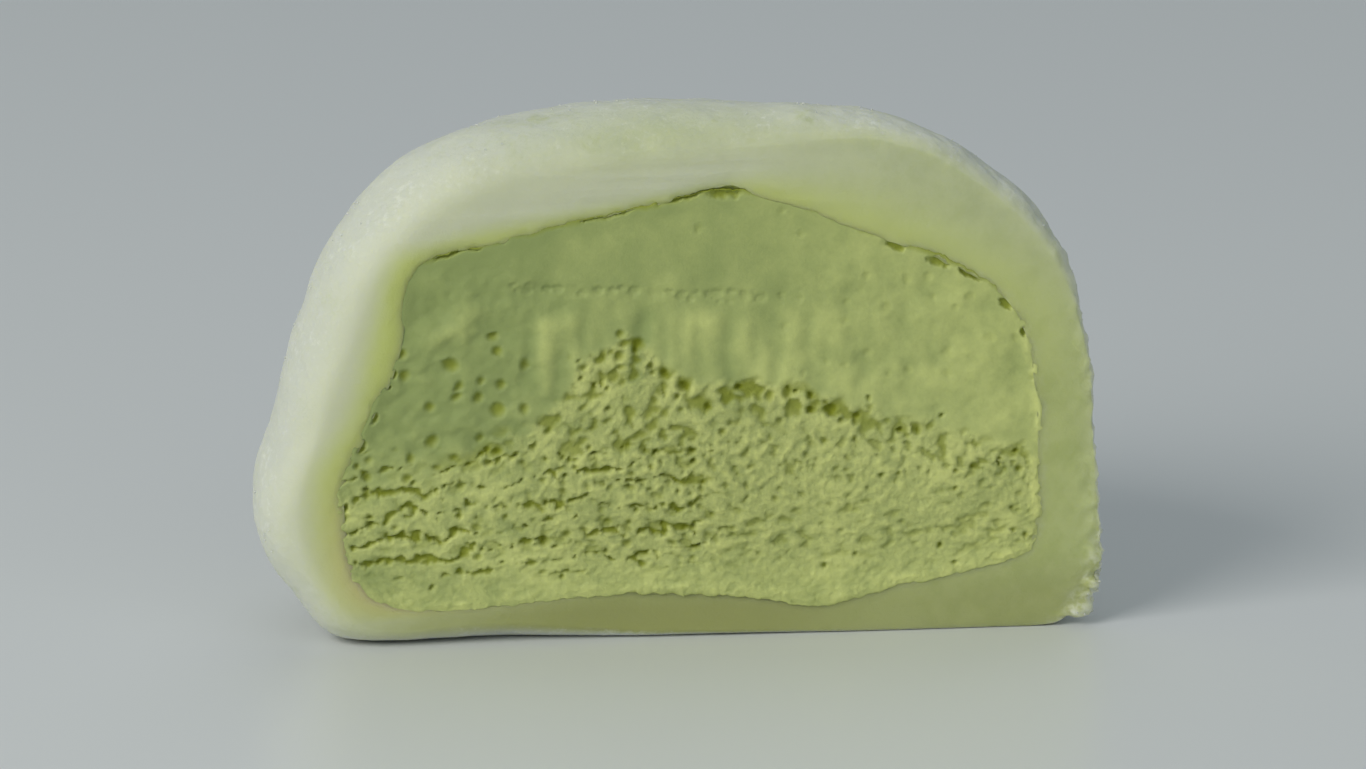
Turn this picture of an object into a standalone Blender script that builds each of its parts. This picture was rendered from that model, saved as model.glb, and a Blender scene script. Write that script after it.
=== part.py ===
"""Half of a filled mochi rice cake, standing as it was cut.

A round cake of soft rice dough, closed round a ball of firm green tea ice cream, is
sliced through the middle. The half stands on its flat base with the cut face towards
-Y and the dome behind it. Two pieces: the dough skin, which is open at the cut, and the
ice cream that fills it.

Both pieces are worked out in the same way. A core axis runs from front to back through
the middle of the cake, and each direction round it has a profile, a line from the back
of the dome to the cut face. The profiles shape the rings of a ball: the ice cream is a
ball with a flat front, and the dough is a ball whose front is pushed in on itself, which
makes the hollow for the ice cream. The outlines dip below the plate, as a round cake
would, and settle() then flattens what rests on it.

Lengths are in millimetres until a mesh is written, and the scene is in metres.
"""

import math

import bmesh
import bpy
import numpy as np
from mathutils import Matrix, Vector

METRES_PER_MM = 0.001

# The cake behind the cut: how far back it reaches, and the thickness of dough there.
DEPTH = 22.4
BACK_WALL = 3.4
CORE_HEIGHT = 10.0

# The ice cream is a separate piece, which stands a little clear of the dough.
GAP = 0.3

# The dough's outline at the cut, seen from the front as (x, z), anticlockwise from the
# upright right side: a low flat-topped dome that bulges at its lower left.
SKIN_OUTLINE = [
    (23.3, 9.5),
    (23.0, 15.6),
    (21.5, 21.0),
    (17.8, 25.4),
    (11.9, 28.6),
    (3.7, 29.4),
    (-6.3, 28.9),
    (-13.2, 27.3),
    (-17.9, 23.1),
    (-20.2, 17.6),
    (-21.9, 12.0),
    (-22.9, 7.2),
    (-20.8, 2.7),
    (-15.0, -2.6),
    (0.0, -6.4),
    (17.0, -4.0),
    (23.2, 1.9),
]

# The ice cream's outline: a dome with a peak right of the middle, a sharp upper left
# shoulder, a left side that slants outwards, an upright right side and a wavy foot.
ICE_CREAM_OUTLINE = [
    (20.4, 9.9),
    (20.1, 14.6),
    (19.0, 18.0),
    (16.4, 20.2),
    (10.0, 23.0),
    (3.9, 25.0),
    (-3.0, 24.0),
    (-12.2, 22.0),
    (-14.6, 20.9),
    (-15.6, 17.4),
    (-16.7, 13.1),
    (-18.6, 9.4),
    (-18.2, 5.0),
    (-16.3, 2.4),
    (-12.5, 2.0),
    (-3.0, 2.6),
    (3.0, 2.3),
    (8.0, 1.6),
    (12.5, 2.6),
    (18.0, 3.7),
    (20.1, 5.0),
]

# The plain oval that the dough's outline relaxes into behind the cut: its half width, its
# height above the core axis and its depth below it.
OVAL_HALF_WIDTH = 22.7
OVAL_RISE = 19.0
OVAL_DROP = 16.4

# How gently the dough bends into its underside, and the last of that bend, which is
# pressed level with the plate.
SOFTNESS = 0.9
PRESSED = 0.06

# The rounding of the dough where the cut face turns into the hollow, and of the ice
# cream at the edge of its cut face.
MOUTH_WIDTH = 0.5
MOUTH_DEPTH = 0.5
ICE_CREAM_EDGE = 0.3

# Mesh density: parts round the core axis, and rings along each stretch of a profile.
SEGMENTS = 80
DOME_RINGS = 14
LIP_RINGS = 4
FACE_RINGS = 2
MOUTH_RINGS = 2
HOLLOW_RINGS = 9
FRONT_RINGS = 4
CURVE_STEPS = 24
ARC_STEPS = 160


def smooth_loop(points):
    """The closed curve through the points, as a Catmull-Rom spline sampled finely."""
    knots = np.array(points, float)
    before = np.roll(knots, 1, axis=0)
    after = np.roll(knots, -1, axis=0)
    beyond = np.roll(knots, -2, axis=0)
    slope = after - before
    bend = 2 * before - 5 * knots + 4 * after - beyond
    twist = 3 * knots - before - 3 * after + beyond
    steps = np.arange(CURVE_STEPS) / CURVE_STEPS
    samples = [knots + (slope * t + bend * t**2 + twist * t**3) / 2 for t in steps]
    return np.stack(samples, axis=1).reshape(-1, 2)


def reach(points):
    """Distance from the core axis to the outline, as a function of direction."""
    curve = smooth_loop(points) - (0.0, CORE_HEIGHT)
    angles = np.arctan2(curve[:, 1], curve[:, 0])
    distances = np.hypot(curve[:, 0], curve[:, 1])
    order = np.argsort(angles)

    def distance(theta):
        return np.interp(theta, angles[order], distances[order], period=math.tau)

    return distance


def around(*values):
    """A size that varies round the cut, from equally spaced values that start at the
    right and run anticlockwise over the top."""

    def size(theta):
        place = (theta % math.tau) / math.tau * len(values)
        first = int(place) % len(values)
        share = 0.5 - 0.5 * math.cos(math.pi * (place - int(place)))
        return values[first] * (1 - share) + values[(first + 1) % len(values)] * share

    return size


skin_reach = reach(SKIN_OUTLINE)
ice_cream_reach = reach(ICE_CREAM_OUTLINE)

# Eight directions each: right, upper right, top, upper left, left, lower left, foot and
# lower right. The knife drew the dough down over the top and the left, so its lip is
# round and swells forward there, and it left the right and the foot crisp.
lip_depth = around(1.0, 3.0, 4.6, 5.2, 4.6, 3.0, 1.4, 0.9)
lip_inset = around(0.4, 1.6, 2.5, 3.2, 2.6, 1.6, 0.5, 0.4)
lip_swell = around(0.0, 0.25, 0.5, 0.7, 0.7, 0.4, 0.0, 0.0)
dome_fullness = around(2.1, 2.25, 2.4, 2.25, 2.1, 2.15, 2.3, 2.15)


def settle(z):
    """The height z after the dough sinks on to the plate, which it meets in a soft bend."""
    return max(SOFTNESS * math.log1p(math.exp((z + PRESSED) / SOFTNESS)) - PRESSED, 0.0)


def oval_reach(theta):
    """Distance from the core axis to the plain oval behind the cut."""
    height = OVAL_RISE if math.sin(theta) > 0 else OVAL_DROP
    return 1 / math.hypot(math.cos(theta) / OVAL_HALF_WIDTH, math.sin(theta) / height)


def skin_point(theta, share, y):
    """A point of the outer skin, at this share of the outline's distance from the core.
    Behind the cut the dome relaxes into the oval, and is a little uneven, as shaped by
    hand."""
    back = min(max(y / DEPTH, 0.0), 1.0)
    relaxed = math.sin(math.pi / 2 * back) ** 2
    outline = skin_reach(theta) * (1 - relaxed) + oval_reach(theta) * relaxed
    waves = 0.28 * math.sin(3 * theta + 0.6) + 0.16 * math.sin(5 * theta - 1.1)
    out = outline * share + waves * math.sin(math.pi * back) ** 2
    z = settle(CORE_HEIGHT + out * math.sin(theta))
    return Vector((out * math.cos(theta), y, z))


def inner_point(theta, share, y, clearance):
    """A point of the ice cream's surface, or of the hollow that clears it all round."""
    out = (ice_cream_reach(theta) + clearance) * share
    return Vector((out * math.cos(theta), y, CORE_HEIGHT + out * math.sin(theta)))


def dome_arc(radius, depth, fullness, count, until):
    """Stations (share of the radius, y) along a rounded quarter from the back pole to
    the depth called until, evenly spaced along its length. A fullness of 2 is an
    ellipse, and more than 2 is squarer."""
    turn = np.linspace(math.pi / 2, 0, ARC_STEPS)
    share = np.cos(turn).clip(0, 1) ** (2 / fullness)
    y = depth * np.sin(turn).clip(0, 1) ** (2 / fullness)
    beyond = y > until
    share = np.append(share[beyond], (1 - (until / depth) ** fullness) ** (1 / fullness))
    y = np.append(y[beyond], until)
    run = np.cumsum(np.hypot(np.diff(share, prepend=0) * radius, np.diff(y, prepend=depth)))
    stations = np.linspace(0, run[-1], count + 1)
    return [(np.interp(s, run, share), np.interp(s, run, y)) for s in stations]


def dough_profile(theta):
    """From the dome's back pole, over the lip and the cut face, to the hollow's pole."""
    radius = skin_reach(theta)
    fullness = dome_fullness(theta)
    depth = lip_depth(theta)
    front = -lip_swell(theta)
    inwards = Vector((-math.cos(theta), 0.0, -math.sin(theta)))

    dome = dome_arc(radius, DEPTH, fullness, DOME_RINGS, until=depth)
    points = [skin_point(theta, share, y) for share, y in dome]
    for step in range(1, LIP_RINGS + 1):
        turn = math.pi / 2 * step / LIP_RINGS
        y = front + (depth - front) * (1 - math.sin(turn))
        share = (1 - (max(y, 0) / DEPTH) ** fullness) ** (1 / fullness)
        inset = lip_inset(theta) * (1 - math.cos(turn))
        points.append(skin_point(theta, share, y) + inwards * inset)

    lip_end = points[-1]
    hollow = inner_point(theta, 1.0, 0.0, GAP)
    mouth = hollow + (lip_end - hollow).normalized() * MOUTH_WIDTH
    mouth.y = front / 2
    for step in range(1, FACE_RINGS + 1):
        points.append(lip_end.lerp(mouth, step / FACE_RINGS))
    for step in range(1, MOUTH_RINGS + 1):
        turn = math.pi / 2 * step / MOUTH_RINGS
        edge = mouth.lerp(hollow, math.sin(turn))
        edge.y = mouth.y + (MOUTH_DEPTH - mouth.y) * (1 - math.cos(turn))
        points.append(edge)

    depth = DEPTH - BACK_WALL
    hollow_arc = dome_arc(radius, depth, fullness, HOLLOW_RINGS, until=MOUTH_DEPTH)
    inside = [inner_point(theta, share, y, GAP) for share, y in hollow_arc]
    return points + inside[-2::-1]


def ice_cream_profile(theta):
    """From the back pole round to the middle of the flat cut face."""
    depth = DEPTH - BACK_WALL - GAP
    arc = dome_arc(
        ice_cream_reach(theta),
        depth,
        dome_fullness(theta),
        HOLLOW_RINGS,
        until=ICE_CREAM_EDGE,
    )
    points = [inner_point(theta, share, y, 0.0) for share, y in arc]
    rim = inner_point(theta, 1.0, 0.0, -ICE_CREAM_EDGE)
    middle = Vector((0.0, 0.0, CORE_HEIGHT))
    return points + [rim.lerp(middle, n / FRONT_RINGS) for n in range(FRONT_RINGS + 1)]


def food_material(name, colour, roughness):
    """A Principled surface of one colour that scatters a little light."""
    material = bpy.data.materials.new(name)
    material.use_nodes = True
    shader = material.node_tree.nodes["Principled BSDF"]
    shader.inputs["Base Color"].default_value = (*colour, 1.0)
    shader.inputs["Roughness"].default_value = roughness
    shader.inputs["Metallic"].default_value = 0.0
    shader.inputs["Subsurface Weight"].default_value = 0.3
    shader.inputs["Subsurface Scale"].default_value = 0.002
    return material


def shaped_ball(name, profile, material, collection):
    """A ball whose rings, counted from the back, lie at the points of each profile."""
    profiles = [profile(math.tau * part / SEGMENTS) for part in range(SEGMENTS)]
    rings = len(profiles[0]) - 1
    bm = bmesh.new()
    bmesh.ops.create_uvsphere(
        bm,
        u_segments=SEGMENTS,
        v_segments=rings,
        radius=1.0,
        matrix=Matrix.Rotation(-math.pi / 2, 4, "X"),
    )
    for vertex in bm.verts:
        x, y, z = vertex.co
        ring = round(math.acos(max(-1.0, min(1.0, y))) / math.pi * rings)
        part = round(math.atan2(z, x) / math.tau * SEGMENTS) % SEGMENTS
        vertex.co = profiles[part][ring] * METRES_PER_MM
    mesh = bpy.data.meshes.new(name)
    bm.to_mesh(mesh)
    bm.free()
    mesh.materials.append(material)
    mesh.shade_smooth()
    made = bpy.data.objects.new(name, mesh)
    collection.objects.link(made)
    return made


def stand_at_origin(outermost, pieces):
    """Moves the pieces so that the origin is under the middle of the outermost one."""
    corners = np.array([vertex.co for vertex in outermost.data.vertices])
    middle = (corners.min(axis=0) + corners.max(axis=0)) / 2
    for piece in pieces:
        piece.data.transform(Matrix.Translation((-middle[0], -middle[1], 0.0)))


def main():
    for leftover in list(bpy.data.objects):
        bpy.data.objects.remove(leftover, do_unlink=True)
    collection = bpy.data.collections.new("half_mochi")
    bpy.context.scene.collection.children.link(collection)

    dough = shaped_ball(
        "rice_dough",
        dough_profile,
        food_material("rice_dough", (0.62, 0.66, 0.44), 0.5),
        collection,
    )
    ice_cream = shaped_ball(
        "ice_cream",
        ice_cream_profile,
        food_material("green_tea_ice_cream", (0.36, 0.42, 0.16), 0.75),
        collection,
    )
    stand_at_origin(dough, [dough, ice_cream])


main()
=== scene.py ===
import math

import bmesh
import bpy
import numpy as np
from mathutils import Matrix, Vector


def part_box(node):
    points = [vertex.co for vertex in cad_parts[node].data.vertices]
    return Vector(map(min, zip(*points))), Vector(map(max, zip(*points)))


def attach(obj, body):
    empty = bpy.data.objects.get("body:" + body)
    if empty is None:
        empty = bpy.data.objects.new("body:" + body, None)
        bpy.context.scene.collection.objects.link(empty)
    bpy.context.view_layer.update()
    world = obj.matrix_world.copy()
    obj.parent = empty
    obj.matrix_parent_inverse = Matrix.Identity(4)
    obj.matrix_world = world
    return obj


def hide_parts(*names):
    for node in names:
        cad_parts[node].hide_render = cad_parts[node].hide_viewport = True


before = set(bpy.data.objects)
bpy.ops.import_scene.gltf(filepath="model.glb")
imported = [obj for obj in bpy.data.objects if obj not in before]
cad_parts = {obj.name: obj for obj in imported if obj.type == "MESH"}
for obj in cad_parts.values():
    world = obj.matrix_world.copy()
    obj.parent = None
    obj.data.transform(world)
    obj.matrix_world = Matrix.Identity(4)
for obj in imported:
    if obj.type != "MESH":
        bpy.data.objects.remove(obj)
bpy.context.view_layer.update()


# ---- Rice dough --------------------------------------------------------------------
# Glutinous rice flour and sugar, steamed, kneaded, rolled out in starch and folded
# round a frozen ball, with the pinched side down. The knife drew the soft skin over the
# top and the left of the cut, and left the right side and the foot crisp.

MM = 0.001
CAKE_DEPTH = 22.4
BACK_WALL = 3.4
CORE_HEIGHT = 10.0
OVAL_HALF_WIDTH = 22.7
OVAL_RISE = 19.0
OVAL_DROP = 16.4
SAG_SOFTNESS = 0.9
PRESSED = 0.06

# The cut outlines as (x, z), anticlockwise from the upright right side.
SKIN_OUTLINE = [
    (23.3, 9.5),
    (23.0, 15.6),
    (21.5, 21.0),
    (17.8, 25.4),
    (11.9, 28.6),
    (3.7, 29.4),
    (-6.3, 28.9),
    (-13.2, 27.3),
    (-17.9, 23.1),
    (-20.2, 17.6),
    (-21.9, 12.0),
    (-22.9, 7.2),
    (-20.8, 2.7),
    (-15.0, -2.6),
    (0.0, -6.4),
    (17.0, -4.0),
    (23.2, 1.9),
]
ICE_CREAM_OUTLINE = [
    (20.4, 9.9),
    (20.1, 14.6),
    (19.0, 18.0),
    (16.4, 20.2),
    (10.0, 23.0),
    (3.9, 25.0),
    (-3.0, 24.0),
    (-12.2, 22.0),
    (-14.6, 20.9),
    (-15.6, 17.4),
    (-16.7, 13.1),
    (-18.6, 9.4),
    (-18.2, 5.0),
    (-16.3, 2.4),
    (-12.5, 2.0),
    (-3.0, 2.6),
    (3.0, 2.3),
    (8.0, 1.6),
    (12.5, 2.6),
    (18.0, 3.7),
    (20.1, 5.0),
]

DOUGH_SEGMENTS = 520
DOME_RINGS = 96
LIP_RINGS = 30
CUT_RINGS = 30
MOUTH_RINGS = 8
HOLLOW_RINGS = 14


def smooth_loop(points, steps=24):
    """The closed curve through the points, as a Catmull-Rom spline sampled finely."""
    knots = np.array(points, float)
    before = np.roll(knots, 1, axis=0)
    after = np.roll(knots, -1, axis=0)
    beyond = np.roll(knots, -2, axis=0)
    slope = after - before
    bend = 2 * before - 5 * knots + 4 * after - beyond
    twist = 3 * knots - before - 3 * after + beyond
    samples = [knots + (slope * t + bend * t**2 + twist * t**3) / 2
               for t in np.arange(steps) / steps]
    return np.stack(samples, axis=1).reshape(-1, 2)


def reach(points):
    """Distance from the core axis to the outline, as a function of direction."""
    curve = smooth_loop(points) - (0.0, CORE_HEIGHT)
    angles = np.arctan2(curve[:, 1], curve[:, 0])
    order = np.argsort(angles)
    distances = np.hypot(curve[:, 0], curve[:, 1])[order]
    return lambda theta: np.interp(theta, angles[order], distances, period=math.tau)


def around(*values):
    """A size that varies round the cut: right, upper right, top, upper left, left, lower
    left, foot and lower right."""
    values = np.array(values, float)

    def size(theta):
        place = np.mod(theta, math.tau) / math.tau * len(values)
        first = np.floor(place).astype(int)
        share = 0.5 - 0.5 * np.cos(math.pi * (place - first))
        here, following = values[first % len(values)], values[(first + 1) % len(values)]
        return here * (1 - share) + following * share

    return size


skin_reach = reach(SKIN_OUTLINE)
ice_cream_reach = reach(ICE_CREAM_OUTLINE)
lip_depth = around(0.4, 2.4, 4.6, 5.2, 4.6, 3.0, 1.2, 0.45)
lip_inset = around(0.15, 1.1, 2.5, 3.2, 2.7, 1.7, 0.5, 0.18)
lip_front = around(0.0, -0.08, -0.22, -0.24, -0.24, -0.12, 0.18, 0.12)
mouth_front = around(-0.06, -0.03, 0.03, 0.05, 0.05, 0.06, 0.17, 0.09)
common_lap = around(-0.20, -0.20, -0.20, -0.25, -0.70, -0.30, 0.0, -0.1)
dome_fullness = around(2.1, 2.25, 2.4, 2.25, 2.1, 2.15, 2.3, 2.15)


def mouth_lap(theta):
    """How far the cut dough reaches over the filling's border, below zero, which is most
    where the knife drew it over the filling at the upper left."""
    degrees = np.degrees(np.mod(theta, math.tau))
    drawn = 0.45 * np.exp(-(((degrees - 154.0) / 10.0) ** 2))
    return common_lap(theta) - drawn + 0.3 * np.exp(-(((degrees - 169.5) / 5.0) ** 2))


def parting(theta):
    """How far the dough has come away from the filling: in a slit under the crown and
    in two stretches to its left."""
    degrees = np.degrees(np.mod(theta, math.tau))
    slit = 0.18 * np.exp(-(((degrees - 82.5) / 8.0) ** 4))
    slit += 0.12 * np.exp(-(((degrees - 78.5) / 3.5) ** 2))
    parted = 0.11 * np.exp(-(((degrees - 99.0) / 5.0) ** 2))
    parted += 0.10 * np.exp(-(((degrees - 108.0) / 3.0) ** 2))
    parted += 0.13 * np.exp(-(((degrees - 135.0) / 4.0) ** 2))
    return slit + parted


def skin_line(theta, share, y):
    """Points of the outer skin, at these shares of the outline's distance and depths."""
    back = np.clip(y / CAKE_DEPTH, 0.0, 1.0)
    relaxed = np.sin(math.pi / 2 * back) ** 2
    height = OVAL_RISE if math.sin(theta) > 0 else OVAL_DROP
    oval = 1 / math.hypot(math.cos(theta) / OVAL_HALF_WIDTH, math.sin(theta) / height)
    outline = skin_reach(theta) * (1 - relaxed) + oval * relaxed
    waves = 0.28 * math.sin(3 * theta + 0.6) + 0.16 * math.sin(5 * theta - 1.1)
    out = outline * share + waves * np.sin(math.pi * back) ** 2
    z = CORE_HEIGHT + out * math.sin(theta)
    z = SAG_SOFTNESS * np.log1p(np.exp((z + PRESSED) / SAG_SOFTNESS)) - PRESSED
    return np.stack([out * math.cos(theta), y, np.maximum(z, 0.0)], axis=-1)


def core_line(theta, out, y):
    """Points at these distances from the core axis and depths."""
    z = CORE_HEIGHT + out * math.sin(theta)
    return np.stack([out * math.cos(theta), y, z], axis=-1)


def even_turns(line, start, end, count):
    """Directions from start to end whose places on the line are evenly spaced."""
    theta = np.linspace(start, end, 1200)
    places = np.array([line(direction) for direction in theta])
    run = np.cumsum(np.hypot(*np.diff(places, axis=0, prepend=places[:1]).T))
    return np.interp(np.linspace(0, run[-1], count + 1), run, theta)


def dome_arc(radius, depth, fullness, count, until, ease=1.0):
    """Stations (share of the radius, y) along a rounded quarter from the back pole to
    the depth called until, evenly spaced along its length, or closer at the end."""
    turn = np.linspace(math.pi / 2, 0, 400)
    share = np.cos(turn).clip(0, 1) ** (2 / fullness)
    y = depth * np.sin(turn).clip(0, 1) ** (2 / fullness)
    beyond = y > until
    share = np.append(share[beyond], (1 - (until / depth) ** fullness) ** (1 / fullness))
    y = np.append(y[beyond], until)
    run = np.cumsum(np.hypot(np.diff(share, prepend=0) * radius, np.diff(y, prepend=depth)))
    stations = run[-1] * (1 - (1 - np.linspace(0, 1, count + 1)) ** ease)
    return np.interp(stations, run, share), np.interp(stations, run, y)


def dough_profile(theta):
    """From the dome's back pole, over the lip and the cut face, to the hollow's pole."""
    radius, fullness = skin_reach(theta), dome_fullness(theta)
    depth, front, inset = lip_depth(theta), lip_front(theta), lip_inset(theta)
    share, y = dome_arc(radius, CAKE_DEPTH, fullness, DOME_RINGS, depth)
    dome = skin_line(theta, share, y)

    turn = math.pi / 2 * np.arange(1, LIP_RINGS + 1) / LIP_RINGS
    y = front + (depth - front) * (1 - np.sin(turn))
    share = (1 - (np.maximum(y, 0) / CAKE_DEPTH) ** fullness) ** (1 / fullness)
    inwards = np.array([-math.cos(theta), 0.0, -math.sin(theta)])
    lip = skin_line(theta, share, y) + np.outer(inset * (1 - np.cos(turn)), inwards)

    pressed_reach = ice_cream_reach(theta) - 0.12
    opened = parting(theta) + mouth_lap(theta) * np.clip(1 - parting(theta) / 0.15, 0, 1)
    shallow = 0.75 - 0.4 * np.clip(parting(theta) / 0.2, 0, 1)
    hollow = core_line(theta, pressed_reach, np.array(shallow))
    mouth = core_line(theta, pressed_reach + opened, np.array(mouth_front(theta)))
    steps = 1 - (1 - (np.arange(1, CUT_RINGS + 1) / CUT_RINGS)[:, None]) ** 1.5
    cut = lip[-1] + (mouth - lip[-1]) * steps
    cut[:, 1] = lip[-1][1] + (mouth[1] - lip[-1][1]) * (steps[:, 0] ** 3)
    turn = (math.pi / 2 * np.arange(1, MOUTH_RINGS + 1) / MOUTH_RINGS)[:, None]
    edge = mouth + (hollow - mouth) * np.hstack([1 - np.cos(turn), np.sin(turn), 1 - np.cos(turn)])

    depth = CAKE_DEPTH - BACK_WALL
    share, y = dome_arc(radius, depth, fullness, HOLLOW_RINGS, 0.75, ease=1.6)
    swell = 0.3 * (1 - share**6) - 0.12
    inside = core_line(theta, (ice_cream_reach(theta) + swell) * share, y)[-2::-1]
    return np.concatenate([dome, lip, cut, edge, inside])


def shaped_ball(name, profiles):
    """A ball whose rings, counted from the back, lie at the points of each profile."""
    segments, rings = profiles.shape[0], profiles.shape[1] - 1
    bm = bmesh.new()
    bmesh.ops.create_uvsphere(bm, u_segments=segments, v_segments=rings, radius=1.0,
                              matrix=Matrix.Rotation(-math.pi / 2, 4, "X"))

    def order(place, shift):
        """The number of a place on the ball, counted along its rings from the back."""
        down = math.acos(max(-1.0, min(1.0, place.normalized().y))) / math.pi * rings
        across = math.atan2(place.z, place.x) / math.tau * segments
        return math.floor(down + shift) * segments + math.floor(across + shift) % segments

    # Blender numbers the ball's points and faces anew on each run, and the starch is
    # strewn by their numbers, so they are put in one order.
    bm.verts.sort(key=lambda vertex: order(vertex.co, 0.5))
    bm.faces.sort(key=lambda face: order(face.calc_center_median(), 0.0))
    places = np.array([vertex.co for vertex in bm.verts])
    ring = np.rint(np.arccos(places[:, 1].clip(-1, 1)) / math.pi * rings).astype(int)
    part = np.rint(np.arctan2(places[:, 2], places[:, 0]) / math.tau * segments).astype(int)
    mesh = bpy.data.meshes.new(name)
    bm.to_mesh(mesh)
    bm.free()
    mesh.vertices.foreach_set("co", (profiles[part % segments, ring] * MM).ravel())
    return mesh, ring, part % segments


def give(mesh, name, values):
    """Keeps a number for each vertex on the mesh, for nodes to read."""
    layer = mesh.attributes.new(name, "FLOAT", "POINT")
    layer.data.foreach_set("value", np.asarray(values, np.float32))


turns = even_turns(lambda theta: skin_line(theta, 1.0, np.zeros(1))[0, ::2],
                   0.0, math.tau, DOUGH_SEGMENTS)[:-1]
dough_profiles = np.array([dough_profile(theta) for theta in turns])
corners = dough_profiles.reshape(-1, 3)
middle_x = (corners[:, 0].min() + corners[:, 0].max()) / 2
cut_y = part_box("ice_cream")[0][1] / MM
PLACE = np.array([-middle_x, cut_y, 0.0])

dough_mesh, dough_ring, dough_part = shaped_ball("rice_dough_skin", dough_profiles + PLACE)
dough_mesh.shade_smooth()
theta = turns[dough_part]
flat = dough_profiles[dough_part, dough_ring]
away = np.hypot(flat[:, 0], flat[:, 2] - CORE_HEIGHT) - ice_cream_reach(theta)
# Painted glow: the cut dough near the filling is coloured as if the filling's green shone through
# it. The surfaces inside the hollow take it too.
glow_width = around(4.2, 5.5, 1.7, 1.8, 1.9, 2.4, 3.0, 4.0)(theta)
glow_fall = around(0.9, 1.4, 2.8, 1.2, 0.9, 0.9, 0.9, 0.9)(theta)
glow = np.clip(1 - away / glow_width, 0, 1) ** glow_fall * np.clip(1 - flat[:, 1] / 4.0, 0, 1)
glow = glow * around(0.40, 0.76, 0.88, 0.9, 0.84, 0.8, 0.3, 0.3)(theta)
right_turn = np.clip(np.cos(theta), 0, 1) ** 2
inner = np.clip(-away / 0.35, 0, 1) * np.clip(1 - flat[:, 1] / 2.0, 0, 1)
glow = glow + (1 - glow) * inner * (1 - 0.6 * right_turn)
cut_share = np.clip((dough_ring - DOME_RINGS - LIP_RINGS * 0.5) / (LIP_RINGS * 0.5), 0, 1)
# How much flour-white the cut shows round the cake. High on the cut at the top and on the left, it
# is partly the floury skin the knife drew over and partly painted light on a cut that the lamp at
# the upper left only grazes.
flour_and_light = around(0.04, 0.50, 0.96, 0.96, 1.0, 0.42, 0.05, 0.05)(theta)
from_skin = skin_reach(theta) - np.hypot(flat[:, 0], flat[:, 2] - CORE_HEIGHT)
cut_edge = np.exp(-((from_skin / 0.9) ** 2)) * np.clip(1.5 - flat[:, 1] / 2.0, 0, 1)
corner = np.exp(-(((np.degrees(theta) - 338.5) / 9.0) ** 2))
torn = (around(0.3, 0.15, 0.0, 0.0, 0.0, 0.0, 0.1, 0.45)(theta) + 0.6 * corner) * cut_edge
frayed_and_rim_highlight = (around(0.12, 0.08, 0.0, 0.0, 0.0, 0.0, 0.0, 0.25)(theta) + 0.8 * corner) * cut_edge
# A painted highlight on the dough along its joint with the filling on the right.
frayed_and_rim_highlight = frayed_and_rim_highlight + 0.2 * np.exp(-((away / 0.3) ** 2)) * right_turn * np.clip(1 - flat[:, 1], 0, 1)
give(dough_mesh, "glow", glow)
give(dough_mesh, "torn", torn)
give(dough_mesh, "frayed_and_rim_highlight", frayed_and_rim_highlight)
give(dough_mesh, "cut", cut_share)
# The lip round the top is drawn with less of the flour-white, so it is darker there.
lip_place = (dough_ring - DOME_RINGS - LIP_RINGS * 0.6) / LIP_RINGS
top_lip_darker = np.exp(-((lip_place / 0.5) ** 2) - ((np.degrees(theta) - 92.0) / 28.0) ** 2)
dusted = np.exp(-((from_skin / 0.8) ** 2)) * np.clip(np.cos(theta), 0, 1) * 0.3
give(dough_mesh, "flour", 1 - cut_share * (1 - flour_and_light) - top_lip_darker * 0.5 + cut_share * dusted)
# Painted shade on the damp foot strip below the filling: low on the cut face, most in the middle.
shaded_damp_foot = np.clip(1 - flat[:, 2] / 4.5, 0, 1) * cut_share * np.clip((flat[:, 0] + 19.0) / 6.0, 0, 1)
shaded_damp_foot = np.clip(shaded_damp_foot * 1.6, 0, 1) * (0.55 + 0.45 * np.exp(-(((flat[:, 0] + 1.0) / 10.0) ** 4)))
give(dough_mesh, "shaded_damp_foot", shaded_damp_foot)
# The warmer part of the painted glow, at the lower left.
warm_stretch = np.exp(-(((np.degrees(theta) - 204.0) / 17.0) ** 2))
give(dough_mesh, "warm", glow**2 * warm_stretch * 0.75)
give(dough_mesh, "crown", np.clip(np.sin(theta), 0, 1) * cut_share)
mouth_edge = np.exp(-(away / 0.35) ** 2) * np.clip(1 - flat[:, 1] / 1.4, 0, 1)
give(dough_mesh, "mouth", mouth_edge)


class Field:
    """A number that varies over a surface, worked out by the nodes of one tree."""

    def __init__(self, socket):
        self.socket = socket
        self.tree = socket.id_data

    def math(self, operation, *others, clamp=False):
        node = self.tree.nodes.new("ShaderNodeMath")
        node.operation = operation
        node.use_clamp = clamp
        for slot, value in zip(node.inputs, (self, *others)):
            put(slot, value)
        return Field(node.outputs[0])

    def __add__(self, other):
        return self.math("ADD", other)

    def __sub__(self, other):
        return self.math("SUBTRACT", other)

    def __rsub__(self, other):
        return (self * -1.0).math("ADD", other)

    def __mul__(self, other):
        return self.math("MULTIPLY", other)

    __radd__ = __add__
    __rmul__ = __mul__

    def most(self, other):
        return self.math("MAXIMUM", other)

    def rise(self, low, high):
        """0 below low and 1 above high, with a smooth step between them."""
        node = self.tree.nodes.new("ShaderNodeMapRange")
        node.interpolation_type = "SMOOTHSTEP"
        put(node.inputs["Value"], self)
        put(node.inputs["From Min"], low)
        put(node.inputs["From Max"], high)
        return Field(node.outputs["Result"])


def put(slot, value):
    """Links a field or a socket to an input, or sets the input to a plain value."""
    if isinstance(value, Field):
        value = value.socket
    if isinstance(value, bpy.types.NodeSocket):
        slot.id_data.links.new(value, slot)
    else:
        slot.default_value = value


def along(tree, x, y, z):
    """A vector made of three fields or numbers."""
    node = tree.nodes.new("ShaderNodeCombineXYZ")
    for slot, value in zip(node.inputs, (x, y, z)):
        put(slot, value)
    return node.outputs["Vector"]


def apart(tree, vector):
    """The three fields of a vector."""
    node = tree.nodes.new("ShaderNodeSeparateXYZ")
    put(node.inputs["Vector"], vector)
    return [Field(out) for out in node.outputs]


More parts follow.
